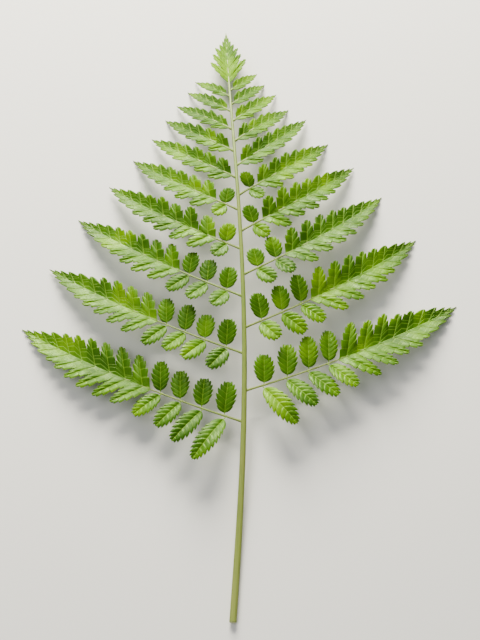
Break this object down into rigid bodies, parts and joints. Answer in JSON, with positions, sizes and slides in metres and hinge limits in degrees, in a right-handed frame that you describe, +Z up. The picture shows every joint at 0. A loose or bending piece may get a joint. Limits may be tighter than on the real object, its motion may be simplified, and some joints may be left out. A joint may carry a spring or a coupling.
{
  "type": "leatherleaf fern frond",
  "caption": "Cut fern frond lying flat: a slender stalk and rachis with alternate, toothed leathery leaflets in a broad triangular blade.",
  "frame": {"origin": "middle of the frond's bounding box, on the surface that it lies on", "axes": "+Y from the cut end of the stalk to the tip of the blade, +Z up, out of the leaf's upper face, +X to the right of the blade seen from above"},
  "size_m": [0.2824, 0.43, 0.0272],
  "materials": {
    "leaf": "satin, leathery, saturated green with a pale sheen toward the light",
    "stalk": "smooth, matt to satin, pale green to tan"
  },
  "bodies": {
    "root": {"stipe_and_rachis": "stalk", "pinna_left_01": "leaf", "pinna_left_02": "leaf", "pinna_left_03": "leaf", "pinna_left_04": "leaf", "pinna_left_05": "leaf", "pinna_left_06": "leaf", "pinna_left_07": "leaf", "pinna_left_08": "leaf", "pinna_left_09": "leaf", "pinna_left_10": "leaf", "pinna_right_01": "leaf", "pinna_right_02": "leaf", "pinna_right_03": "leaf", "pinna_right_04": "leaf", "pinna_right_05": "leaf", "pinna_right_06": "leaf", "pinna_right_07": "leaf", "pinna_right_08": "leaf", "pinna_right_09": "leaf", "pinna_right_10": "leaf", "terminal_pinna": "leaf"}
  },
  "joints": []
}
